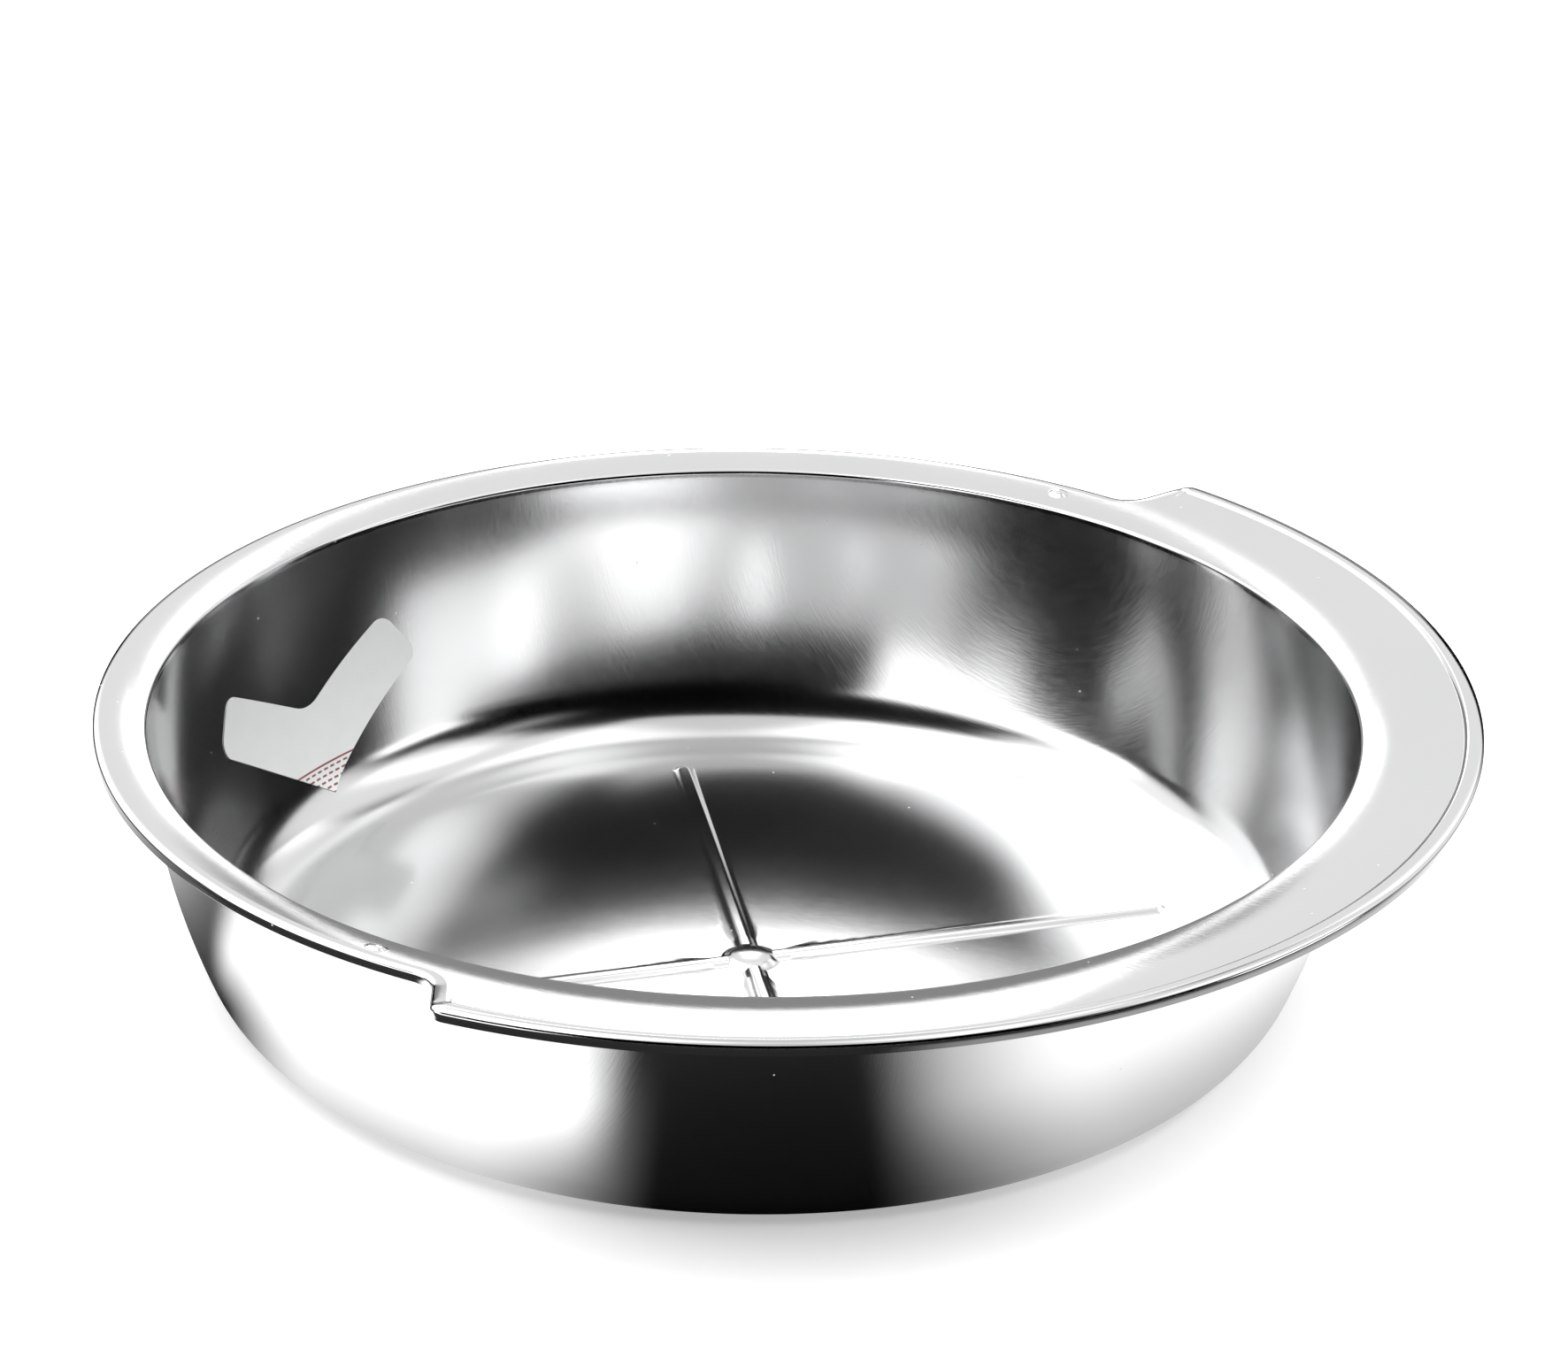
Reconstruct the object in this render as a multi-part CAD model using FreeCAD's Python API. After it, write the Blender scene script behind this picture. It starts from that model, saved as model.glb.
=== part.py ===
import FreeCAD
import Part
import math
import os

# Water pan of a soup kettle: one deep-drawn sheet of stainless steel with a level-mark sticker inside.
# Millimetres. Origin: centre of the floor's underside. +Z up, +X towards the wide side of the flange.

# Plan of the flange, from the outside of the lip inwards
WIDE_RADIUS = 220.6
FLANGE_STEP = 20.6
NARROW_FLANGE = 16.0
WIDE_HALF_ANGLE = 82.4
STEP_FLANK_TILT = 25.0
STEP_VALLEY_RADIUS = 12.0
STEP_CORNER_RADIUS = 6.2
NARROW_RADIUS = WIDE_RADIUS - FLANGE_STEP
RIM_RADIUS = NARROW_RADIUS - NARROW_FLANGE

# Bowl, measured on the inside
SHEET = 0.8
BOWL_DEPTH = 86.4
WALL_TOP_TAPER = 2.3
WALL_FOOT_TAPER = 21.7
CORNER_RADIUS = 25.7

# Section of the flange: a shallow convex collar that rises outwards from the rim
RIM_ROUND = 1.2
FLANGE_INNER_SLOPE = 13.0
FLANGE_OUTER_SLOPE = 3.2

# Turned-down lip and the raised bead beside it
LIP_DROP = 3.8
SHOULDER_RADIUS = 2.2
BEAD_WIDTH = 6.0
BEAD_ROUND = 2.5
BEAD_SLOPE = 36.0

# Cross pressed up into the floor
RIB_END_GAP = 7.6
RIB_WIDTH = 7.2
RIB_TOP_WIDTH = 3.0
RIB_HEIGHT = 1.4
RIB_HALF_ANGLE = 48.2
HUB_DIAMETER = 19.0
HUB_TOP_DIAMETER = 14.0
HUB_CROWN = 0.7

# Pips pressed up on the narrow side, next to the steps of the flange
PIP_INSET = 7.2
PIP_HALF_ANGLE = 90.5
PIP_BALL_RADIUS = 4.5
PIP_HEIGHT = 0.9
PIP_RADIUS_ON_FLANGE = NARROW_RADIUS - PIP_INSET

# Chevron sticker on the inside wall; depths are below the top of the wall, the seat is its adhesive
STICKER_THICKNESS = 0.2
STICKER_SEAT = 0.25
STICKER_ANGLE = 177.5
STICKER_POINT_DEPTH = 76.6
STICKER_NOTCH_DEPTH = 50.3
STICKER_ARM_HALF_SPAN = 50.3
STICKER_ARM_DEPTH = 45.4
STICKER_END_HALF_SPAN = 39.6
STICKER_END_DEPTH = 29.9
STICKER_CORNER_RADIUS = 5.0
STICKER_NOTCH_RADIUS = 12.0

AXIS = FreeCAD.Vector(0, 0, 1)
ORIGIN = FreeCAD.Vector(0, 0, 0)
WALL_TOP = SHEET + BOWL_DEPTH
FULL_TURN = 360.0


def section_point(radius, height):
    """A point of the pan's cross-section, in the X-Z plane."""
    return FreeCAD.Vector(radius, 0, height)


def polar(centre, radius, degrees):
    """A point of a section arc, by its angle from +X towards +Z."""
    turn = math.radians(degrees)
    return centre + FreeCAD.Vector(radius * math.cos(turn), 0, radius * math.sin(turn))


class SectionArc:
    """One arc of the pan's upper surface; metal is the sheet's side, +1 outside the arc, -1 inside it."""

    def __init__(self, centre, radius, start, end, metal):
        self.centre = centre
        self.radius = radius
        self.start = start
        self.end = end
        self.metal = metal

    def edge(self, depth):
        """The arc, moved into the sheet by depth."""
        radius = self.radius + self.metal * depth
        middle = (self.start + self.end) / 2
        points = [polar(self.centre, radius, angle) for angle in (self.start, middle, self.end)]
        return Part.Arc(*points).toShape()

    def end_point(self, depth):
        return polar(self.centre, self.radius + self.metal * depth, self.end)


def follow(previous, radius, end, metal):
    """An arc tangent to the end of the previous one, bending the other way or the same way."""
    same_way = metal == previous.metal
    reach = previous.radius - radius if same_way else previous.radius + radius
    centre = polar(previous.centre, reach, previous.end)
    start = previous.end if same_way else previous.end + 180
    return SectionArc(centre, radius, start, end, metal)


def bowl_arcs():
    """Corner, wall and rim rounding, from the floor up."""
    foot = -WALL_FOOT_TAPER
    corner_top = CORNER_RADIUS * (1 - math.sin(math.radians(WALL_FOOT_TAPER)))
    sweep = math.sin(math.radians(WALL_FOOT_TAPER)) - math.sin(math.radians(WALL_TOP_TAPER))
    wall_radius = (BOWL_DEPTH - corner_top) / sweep
    wall_top = section_point(RIM_RADIUS, WALL_TOP)
    wall_centre = wall_top - polar(ORIGIN, wall_radius, -WALL_TOP_TAPER)
    wall = SectionArc(wall_centre, wall_radius, foot, -WALL_TOP_TAPER, 1)
    corner_centre = polar(wall_centre, wall_radius - CORNER_RADIUS, foot)
    corner = SectionArc(corner_centre, CORNER_RADIUS, -90, foot, 1)
    rim = follow(wall, RIM_ROUND, 90 + FLANGE_INNER_SLOPE, -1)
    return [corner, wall, rim]


def flange_arcs(rim):
    """Convex collar, then the concave foot and the convex crest of the bead."""
    start = rim.end_point(0).x
    crease = WIDE_RADIUS - BEAD_WIDTH
    sweep = math.sin(math.radians(FLANGE_INNER_SLOPE)) - math.sin(math.radians(FLANGE_OUTER_SLOPE))
    collar = follow(rim, (crease - start) / sweep, 90 + FLANGE_OUTER_SLOPE, -1)
    foot = follow(collar, BEAD_ROUND, 270 + BEAD_SLOPE, 1)
    crest = follow(foot, BEAD_ROUND, 450, -1)
    return [collar, foot, crest]


BOWL = bowl_arcs()
FLANGE = flange_arcs(BOWL[-1])
FLOOR_RADIUS = BOWL[0].centre.x
RIB_LENGTH = FLOOR_RADIUS - RIB_END_GAP


def flange_height(radius):
    """Height of the flange's upper surface at a radius."""
    for arc in FLANGE:
        if radius <= arc.end_point(0).x:
            offset = radius - arc.centre.x
            rise = math.sqrt(arc.radius ** 2 - offset ** 2)
            return arc.centre.z - arc.metal * rise
    return FLANGE[-1].end_point(0).z


def revolve_section(edges):
    """Turn a closed section about the bowl's axis."""
    face = Part.Face(Part.Wire(Part.__sortEdges__(edges)))
    return face.revolve(ORIGIN, AXIS, FULL_TURN)


def sheet_blank():
    """The whole drawn sheet, with its flange still round and wider than needed."""
    outer = WIDE_RADIUS + BEAD_WIDTH
    arcs = BOWL + FLANGE
    upper = [arc.edge(0) for arc in arcs]
    lower = [arc.edge(SHEET) for arc in arcs]
    ends = [FLANGE[-1].end_point(depth) for depth in (0, SHEET)]
    rims = [section_point(outer, end.z) for end in ends]
    lines = [
        Part.makeLine(section_point(0, SHEET), section_point(FLOOR_RADIUS, SHEET)),
        Part.makeLine(section_point(0, 0), section_point(FLOOR_RADIUS, 0)),
        Part.makeLine(section_point(0, 0), section_point(0, SHEET)),
        Part.makeLine(ends[0], rims[0]),
        Part.makeLine(ends[1], rims[1]),
        Part.makeLine(rims[0], rims[1]),
    ]
    return revolve_section(upper + lower + lines)


def lip_zone():
    """The space that the turned-down lip may fill: everything within the lip's drop below the flange."""
    outer = WIDE_RADIUS + BEAD_WIDTH
    drop = FreeCAD.Vector(0, 0, -LIP_DROP)
    upper = [arc.edge(0) for arc in FLANGE]
    top_start = BOWL[-1].end_point(0)
    top_end = FLANGE[-1].end_point(0)
    top_rim = section_point(outer, top_end.z)
    upper.append(Part.makeLine(top_end, top_rim))
    lower = [edge.translated(drop) for edge in upper]
    sides = [Part.makeLine(point, point + drop) for point in (top_start, top_rim)]
    return revolve_section(upper + lower + sides)


def plan_point(radius, degrees):
    turn = math.radians(degrees)
    return FreeCAD.Vector(radius * math.cos(turn), radius * math.sin(turn), 0)


def mirrored(point):
    return FreeCAD.Vector(point.x, -point.y, 0)


def reach_circle(start, direction, radius):
    """Where a straight line in the plan meets a circle about the bowl's axis."""
    along = start.dot(direction)
    return start + direction * (math.sqrt(along ** 2 - start.dot(start) + radius ** 2) - along)


def between(first, second):
    """The unit direction half-way between two directions."""
    return (FreeCAD.Vector(first).normalize() + FreeCAD.Vector(second).normalize()).normalize()


def flange_outline(inset):
    """Edge of the flange seen from above: narrow arc, wide arc and a slanting S-shaped step at each end."""
    narrow = NARROW_RADIUS - inset
    wide = WIDE_RADIUS - inset
    valley = STEP_VALLEY_RADIUS + inset
    corner = STEP_CORNER_RADIUS - inset
    along = plan_point(1, WIDE_HALF_ANGLE - STEP_FLANK_TILT)
    across = plan_point(1, WIDE_HALF_ANGLE - STEP_FLANK_TILT + 90)
    flank = plan_point((NARROW_RADIUS + WIDE_RADIUS) / 2, WIDE_HALF_ANGLE)
    valley_centre = reach_circle(flank + across * STEP_VALLEY_RADIUS, along, narrow + valley)
    corner_centre = reach_circle(flank - across * STEP_CORNER_RADIUS, along, wide - corner)
    foot = valley_centre - across * valley
    head = corner_centre + across * corner
    narrow_end = valley_centre * (narrow / (narrow + valley))
    wide_end = corner_centre * (wide / (wide - corner))
    valley_middle = valley_centre - between(valley_centre, across) * valley
    corner_middle = corner_centre + between(corner_centre, across) * corner
    step = [
        Part.Arc(narrow_end, valley_middle, foot),
        Part.LineSegment(foot, head),
        Part.Arc(head, corner_middle, wide_end),
    ]
    opposite = [
        Part.Arc(mirrored(narrow_end), mirrored(valley_middle), mirrored(foot)),
        Part.LineSegment(mirrored(foot), mirrored(head)),
        Part.Arc(mirrored(head), mirrored(corner_middle), mirrored(wide_end)),
    ]
    arcs = [
        Part.Arc(wide_end, plan_point(wide, 0), mirrored(wide_end)),
        Part.Arc(narrow_end, plan_point(narrow, 180), mirrored(narrow_end)),
    ]
    edges = [curve.toShape() for curve in step + opposite + arcs]
    return Part.Wire(Part.__sortEdges__(edges))


def outline_prism(inset):
    height = WALL_TOP + BOWL_DEPTH
    return Part.Face(flange_outline(inset)).extrude(AXIS * height)


def middle_point(edge):
    return edge.valueAt((edge.FirstParameter + edge.LastParameter) / 2)


def edges_under_flange(solid, inset, depth):
    """Edges of a solid that follow the flange's outline, within a depth below the upper surface."""
    wall = flange_outline(inset).extrude(AXIS * (WALL_TOP + BOWL_DEPTH))
    chosen = []
    for edge in solid.Edges:
        middle = middle_point(edge)
        drop = flange_height(math.hypot(middle.x, middle.y)) - middle.z
        on_wall = wall.distToShape(Part.Vertex(middle))[0] < SHEET / 100
        if on_wall and abs(drop - depth) < SHEET / 4 and edge.Length > SHEET:
            chosen.append(edge)
    return chosen


def flanged_bowl():
    """The drawn sheet trimmed to its outline, with the lip turned down all round."""
    outside = outline_prism(0)
    lip = lip_zone().common(outside.cut(outline_prism(SHEET)))
    pan = sheet_blank().common(outside).fuse(lip).removeSplitter()
    pan = pan.makeFillet(SHOULDER_RADIUS - SHEET, edges_under_flange(pan, SHEET, SHEET))
    return pan.makeFillet(SHOULDER_RADIUS, edges_under_flange(pan, 0, 0))


def slot_outline(half_length, half_width, height):
    """A straight slot shape with round ends, along X."""
    bend = half_length - half_width
    corners = [(bend, half_width), (-bend, half_width), (-bend, -half_width), (bend, -half_width)]
    points = [FreeCAD.Vector(x, y, height) for x, y in corners]
    curves = [
        Part.LineSegment(points[0], points[1]),
        Part.Arc(points[1], FreeCAD.Vector(-half_length, 0, height), points[2]),
        Part.LineSegment(points[2], points[3]),
        Part.Arc(points[3], FreeCAD.Vector(half_length, 0, height), points[0]),
    ]
    return Part.Wire([curve.toShape() for curve in curves])


def pressed_cross(bottom, inset):
    """Two tapered ribs and the crowned hub where they meet; inset makes the hollow side."""
    flare = (RIB_WIDTH - RIB_TOP_WIDTH) / 2
    half_width = RIB_WIDTH / 2 - inset
    top = bottom + RIB_HEIGHT
    low = slot_outline(RIB_LENGTH - inset, half_width, bottom)
    high = slot_outline(RIB_LENGTH - inset - flare, half_width - flare, top)
    rib = Part.makeLoft([low, high], True, True)
    ribs = [rib.rotated(ORIGIN, AXIS, side * RIB_HALF_ANGLE) for side in (1, -1)]
    place = FreeCAD.Vector(0, 0, bottom)
    hub_top = HUB_TOP_DIAMETER / 2 - inset
    hub = Part.makeCone(HUB_DIAMETER / 2 - inset, hub_top, RIB_HEIGHT, place)
    ball_radius = (hub_top ** 2 + HUB_CROWN ** 2) / (2 * HUB_CROWN)
    ball_centre = FreeCAD.Vector(0, 0, top + HUB_CROWN - ball_radius)
    seat = math.degrees(math.asin(1 - HUB_CROWN / ball_radius))
    crown = Part.makeSphere(ball_radius, ball_centre, AXIS, seat, 90, FULL_TURN)
    return ribs[0].fuse([ribs[1], hub, crown]).removeSplitter()


def press_cross(pan):
    """Raise the cross on the floor and hollow it out from below."""
    wall_angle = math.atan2(RIB_HEIGHT, (RIB_WIDTH - RIB_TOP_WIDTH) / 2)
    inset = SHEET * math.tan(wall_angle / 2)
    raised = pan.fuse(pressed_cross(SHEET, 0))
    return raised.cut(pressed_cross(0, inset))


def press_pips(pan):
    """Raise a round pip on the narrow side, next to each step, with a dimple below it."""
    collar = FLANGE[0].centre
    top = section_point(PIP_RADIUS_ON_FLANGE, flange_height(PIP_RADIUS_ON_FLANGE))
    normal = (top - collar).normalize()
    centre = top - normal * (PIP_BALL_RADIUS - PIP_HEIGHT)
    seat = math.degrees(math.asin((PIP_BALL_RADIUS - PIP_HEIGHT - SHEET / 2) / PIP_BALL_RADIUS))
    cap = Part.makeSphere(PIP_BALL_RADIUS, centre, normal, seat, 90, FULL_TURN)
    dimple = Part.makeSphere(PIP_BALL_RADIUS, centre - normal * SHEET, normal, -90, 90, FULL_TURN)
    for angle in (PIP_HALF_ANGLE, -PIP_HALF_ANGLE):
        pan = pan.fuse(cap.rotated(ORIGIN, AXIS, angle))
        pan = pan.cut(dimple.rotated(ORIGIN, AXIS, angle))
    return pan


def water_pan():
    """The whole pan, one solid."""
    return press_pips(press_cross(flanged_bowl())).removeSplitter().Solids[0]


def rounded_outline(corners):
    """A closed outline with a round of the given radius at each corner; radius 0 keeps it sharp."""
    runs = []
    curves = []
    for index, (point, radius) in enumerate(corners):
        back = (corners[index - 1][0] - point).normalize()
        ahead = (corners[(index + 1) % len(corners)][0] - point).normalize()
        half = back.getAngle(ahead) / 2
        length = radius / math.tan(half)
        start = point + back * length
        end = point + ahead * length
        runs.append((start, end))
        if radius > 0:
            inward = (back + ahead).normalize()
            middle = point + inward * (radius / math.sin(half) - radius)
            curves.append(Part.Arc(start, middle, end))
    for index, run in enumerate(runs):
        curves.append(Part.LineSegment(runs[index - 1][1], run[0]))
    return Part.Wire(Part.__sortEdges__([curve.toShape() for curve in curves]))


def sticker_outline():
    """The chevron, flat in the Y-Z plane, point down."""
    half = [
        (STICKER_ARM_HALF_SPAN, STICKER_ARM_DEPTH, STICKER_CORNER_RADIUS),
        (STICKER_END_HALF_SPAN, STICKER_END_DEPTH, STICKER_CORNER_RADIUS),
    ]
    outline = [(0, STICKER_POINT_DEPTH, 0)] + half
    outline += [(0, STICKER_NOTCH_DEPTH, STICKER_NOTCH_RADIUS)]
    outline += [(-side, depth, radius) for side, depth, radius in reversed(half)]
    return rounded_outline(
        [(FreeCAD.Vector(0, side, WALL_TOP - depth), radius) for side, depth, radius in outline]
    )


def fill_level_sticker():
    """A thin skin of the inside wall, cut to the chevron and held off the steel by its adhesive."""
    skin = BOWL[:2]
    depths = (-STICKER_SEAT, -STICKER_SEAT - STICKER_THICKNESS)
    edges = [arc.edge(depth) for arc in skin for depth in depths]
    edges.append(Part.makeLine(*[section_point(FLOOR_RADIUS, SHEET - depth) for depth in depths]))
    edges.append(Part.makeLine(*[skin[1].end_point(depth) for depth in depths]))
    cutter = Part.Face(sticker_outline()).extrude(FreeCAD.Vector(WIDE_RADIUS, 0, 0))
    sticker = revolve_section(edges).common(cutter.rotated(ORIGIN, AXIS, STICKER_ANGLE))
    return sticker.Solids[0]


def main():
    os.makedirs("parts", exist_ok=True)
    pieces = {"water_pan": water_pan(), "fill_level_sticker": fill_level_sticker()}
    for name, shape in pieces.items():
        shape.exportStep("parts/" + name + ".step")
        print(name, shape.isValid(), len(shape.Faces), round(shape.Volume, 1))


main()
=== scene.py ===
import math

import bpy
import numpy as np
from mathutils import Matrix, Vector
from mathutils.geometry import delaunay_2d_cdt


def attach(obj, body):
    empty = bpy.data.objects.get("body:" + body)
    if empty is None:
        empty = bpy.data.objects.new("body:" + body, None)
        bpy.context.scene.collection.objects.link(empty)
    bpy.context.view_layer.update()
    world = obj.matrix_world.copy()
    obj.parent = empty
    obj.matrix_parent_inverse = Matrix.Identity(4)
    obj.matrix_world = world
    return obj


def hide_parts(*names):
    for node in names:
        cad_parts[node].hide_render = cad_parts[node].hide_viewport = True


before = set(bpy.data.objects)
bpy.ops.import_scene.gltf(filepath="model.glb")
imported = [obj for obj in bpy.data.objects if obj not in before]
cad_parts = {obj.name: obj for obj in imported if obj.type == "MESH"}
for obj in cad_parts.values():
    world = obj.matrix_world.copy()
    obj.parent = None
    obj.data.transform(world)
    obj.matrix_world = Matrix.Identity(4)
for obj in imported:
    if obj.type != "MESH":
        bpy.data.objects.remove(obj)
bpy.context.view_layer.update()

# Metres in a millimetre
MM = 0.001

# Sizes of the pan in millimetres and degrees, the same as in the CAD source
SHEET = 0.8
WIDE_RADIUS = 220.6
NARROW_RADIUS = 200.0
RIM_RADIUS = 184.0
WIDE_HALF_ANGLE = 82.4
STEP_FLANK_TILT = 25.0
STEP_VALLEY_RADIUS = 12.0
STEP_CORNER_RADIUS = 6.2
BOWL_DEPTH = 86.4
WALL_TOP = SHEET + BOWL_DEPTH
WALL_TOP_TAPER = 2.3
WALL_FOOT_TAPER = 21.7
CORNER_RADIUS = 25.7
RIM_ROUND = 1.2
FLANGE_INNER_SLOPE = 13.0
FLANGE_OUTER_SLOPE = 3.2
LIP_DROP = 3.8
BEAD_WIDTH = 6.0
RIB_END_GAP = 7.6
RIB_HALF_WIDTH = 3.6
RIB_HEIGHT = 1.4
RIB_HALF_ANGLE = 48.2
HUB_CROWN = 0.7
PIP_RADIUS_ON_FLANGE = 192.8
PIP_HALF_ANGLE = 90.5
PIP_HEIGHT = 0.9

# Softer forms of the pan that only the scene has, in millimetres
SHOULDER_HEIGHT = 1.5
SHOULDER_WIDTH = 4.2
BEAD_HEIGHT = 0.9
BEAD_RISE_WIDTH = 1.6
RIB_TOP_HALF_WIDTH = 0.9
RIB_FOOT_SPREAD = 0.4
HUB_FOOT_RADIUS = 9.3
HUB_TOP_RADIUS = 6.0
HUB_CROWN_RADIUS = 7.2
PIP_LENGTH = 6.4
PIP_WIDTH = 4.6

# The bead fades in along the step of the flange, between these shares of the step's columns
BEAD_FADE_START = 0.3
BEAD_FADE_END = 0.95

# Fineness of the pan's mesh round the axis, in degrees or as counts of columns
COLUMN_STEP = 0.8
RIB_COLUMN_REACH = 2.4
RIB_COLUMN_STEP = 0.2
PIP_COLUMN_REACH = 1.4
PIP_COLUMN_STEP = 0.14
VALLEY_COLUMNS = 18
FLANK_COLUMNS = 12
STEP_CORNER_COLUMNS = 20

# Fineness of the pan's mesh from the hub to the lip, in millimetres or as counts of rings
FIRST_RING_RADIUS = 0.3
HUB_ZONE_RADIUS = 13.0
RIB_END_ZONE = 7.0
HUB_RINGS = 30
RIB_RINGS = 20
RIB_END_RINGS = 26
CORNER_RINGS = 18
WALL_RINGS = 28
RIM_RINGS = 11
COLLAR_RINGS = 17
CREASE_MARGIN = 0.5
CREASE_RING_SHARES = (1, 0.5, 0.2)
BEAD_RING_OFFSETS = (0, 0.1, 0.25, 0.45, 0.7, 1.0, 1.3, 1.6)
SHOULDER_RINGS = 16
LIP_RINGS = 3
CUT_MARGIN = 0.08

# Sticker: its place in degrees round the pan, and its outline in millimetres across and down the wall
STICKER_ANGLE = 177.5
STICKER_SEAT = 0.1
STICKER_THICKNESS = 0.2
STICKER_POINT_DEPTH = 76.6
STICKER_NOTCH_DEPTH = 50.3
STICKER_ARM_HALF_SPAN = 50.3
STICKER_ARM_DEPTH = 45.4
STICKER_END_HALF_SPAN = 39.6
STICKER_END_DEPTH = 29.9
STICKER_CORNER_RADIUS = 5.0
STICKER_NOTCH_RADIUS = 12.0

# Fineness of the sticker's mesh, in millimetres or as a count of points
STICKER_CORNER_POINTS = 10
STICKER_EDGE_STEP = 1.5
STICKER_GRID_STEP = 2.0
STICKER_MERGE_DISTANCE = 1e-4

# The triangulation's mode that keeps only what lies inside the outline
KEEP_INSIDE = 1

# Print on the sticker, in millimetres: a level line, and rows of dashes that start a gap below it
LEVEL_DEPTH = 67.9
LEVEL_LINE_WIDTH = 0.6
DASH_GAP = 0.7
DASH_PITCH = 3.2
DASH_ROW_PITCH = 1.8
DASH_MARGIN = 0.62

# Film: its two tones, its ink, its roughness and its grain
FILM_DARK = (0.58, 0.595, 0.585, 1)
FILM_LIGHT = (0.63, 0.64, 0.63, 1)
INK_COLOUR = (0.20, 0.07, 0.07, 1)
FILM_ROUGHNESS = 0.45
GRAIN_SCALE = 0.12
GRAIN_DETAIL = 2.0

# Steel: its two tones, its roughness, and the noise of its polishing marks and of its clouds
STEEL_DARK = (0.70, 0.705, 0.71, 1)
STEEL_LIGHT = (0.745, 0.745, 0.745, 1)
ROUGHNESS_LOW = 0.12
ROUGHNESS_HIGH = 0.17
NOISE_LOW = 0.6
NOISE_HIGH = 1.4
NOISE_DETAIL = 3.0
NOISE_TURN = 35.0
MARK_STRETCH = (1, 22, 1)
MARK_SCALE = 160
MARK_BUMP = 0.02
MARK_DEPTH = 0.0005
CLOUD_STRETCH = (1, 1, 1)
CLOUD_SCALE = 14

# The flange is smoother than the bowl by this much roughness, above this height in millimetres
FLANGE_POLISH = 0.07
FLANGE_FOOT = 86.0

# Dust: its colour, its cells in a metre, a speck's radius as a share of a cell, and the share of empty cells
DUST_COLOUR = (0.5, 0.5, 0.5, 1)
DUST_CELLS = 95.0
DUST_RADIUS = 0.035
DUST_FREE_SHARE = 0.55

# Places of the colour sockets on a mix node, which has more sockets of the same names
MIX_SHARE = 0
MIX_FIRST = 6
MIX_SECOND = 7
MIX_RESULT = 2

# Camera, from the photograph: pixels, degrees, the mouth's height in millimetres and the distance in metres
IMAGE_WIDTH = 1772
IMAGE_CENTRE = (886.0, 767.5)
FOCAL_PIXELS = 5866.0
MOUTH_PIXEL = (852.0, 807.7)
MOUTH_HEIGHT = 85.3
CAMERA_AZIMUTH = 31.85
CAMERA_ELEVATION = 25.507
CAMERA_DISTANCE = 1.582
CAMERA_ROLL = 0.84
SENSOR_WIDTH = 36.0

# Studio: the floor, the background and the dark card, in metres
WHITE = (1, 1, 1, 1)
BACKGROUND_COLOUR = (0.9, 0.9, 0.9, 1)
FLOOR_COLOUR = (0.85, 0.85, 0.85, 1)
FLOOR_ROUGHNESS = 0.9
FLOOR_GLOW = 0.4
FLOOR_HALF_SIZE = 6.0
VELVET_COLOUR = (0.004, 0.004, 0.004, 1)
VELVET_ROUGHNESS = 1.0
DARK_CARD_NEAR = 0.12
DARK_CARD_FAR = 3.0
DARK_CARD_HEIGHT = 0.0002
CARD_POINTS = 37

# Middle of a light panel, whose own coordinates run from 0 to 1
PANEL_MIDDLE = 0.5

# Soft panels: name, azimuth, elevation, distance, half width, half height, soft edge and radiance
SOFT_PANELS = (
    ("top_panel", 180, 76, 1.3, 0.45, 0.72, 0.12, 0.8),
    ("left_panel", -117.5, 36, 1.3, 0.89, 0.5, 0.4, 1.2),
    ("left_high_panel", -112, 59, 1.3, 0.41, 0.5, 0.44, 2.8),
    ("front_left_panel", -60, 16, 1.4, 0.86, 0.42, 0.3, 1.9),
    ("right_strip", 75, 46, 1.3, 0.3, 0.05, 0.35, 0.6),
    ("right_low_panel", 81, 8.5, 1.4, 0.285, 0.33, 0.09, 1.8),
    ("right_mid_panel", 97, 45, 1.3, 0.28, 0.3, 0.15, 0.7),
    ("right_panel", 118.6, 35, 1.3, 0.45, 1.2, 0.45, 1.0),
    ("back_base_panel", 180, 7, 1.4, 0.6, 0.25, 0.02, 0.3),
    ("back_edge_panel", 180, 19, 1.4, 0.13, 0.16, 0.02, 1.6),
    ("back_low_strip", 180, 30, 1.4, 0.08, 0.1, 0.05, 2.6),
    ("back_panel", -172, 34, 1.4, 1.4, 0.43, 0.06, 1.0),
)

# Fills: name, azimuth, elevation, distance, size and radiance
FILLS = (
    ("floor_fill", 0, 90, 2.6, 5.0, 4.2),
    ("right_fill", 60, 40, 2.0, 1.5, 0.9),
)

# Glow cards: name, azimuth, half angle, near radius, far radius, soft angle, soft edge, radiance and height
GLOW_CARDS = (
    ("left_card", -43, 22.3, 0.178, 0.2, 23.5, 0.123, 3.0, 0.0003),
    ("far_left_card", -48, 31, 0.194, 0.305, 8, 0.05, 1.5, 0.0004),
    ("right_card", 73, 45, 0.164, 0.32, 31, 0.166, 1.2, 0.0005),
    ("far_right_card", 64, 45, 0.195, 0.4, 12, 0.05, 0.3, 0.0007),
    ("back_card", -179, 81, 0.2, 0.38, 50, 0.1, 1.1, 0.0006),
)


def arc_points(centre, radius, start, end, count):
    """Points of a section arc, as (radius from the bowl's axis, height)."""
    turn = np.radians(np.linspace(start, end, count))
    return np.stack([centre[0] + radius * np.cos(turn), centre[1] + radius * np.sin(turn)], 1)


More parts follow.
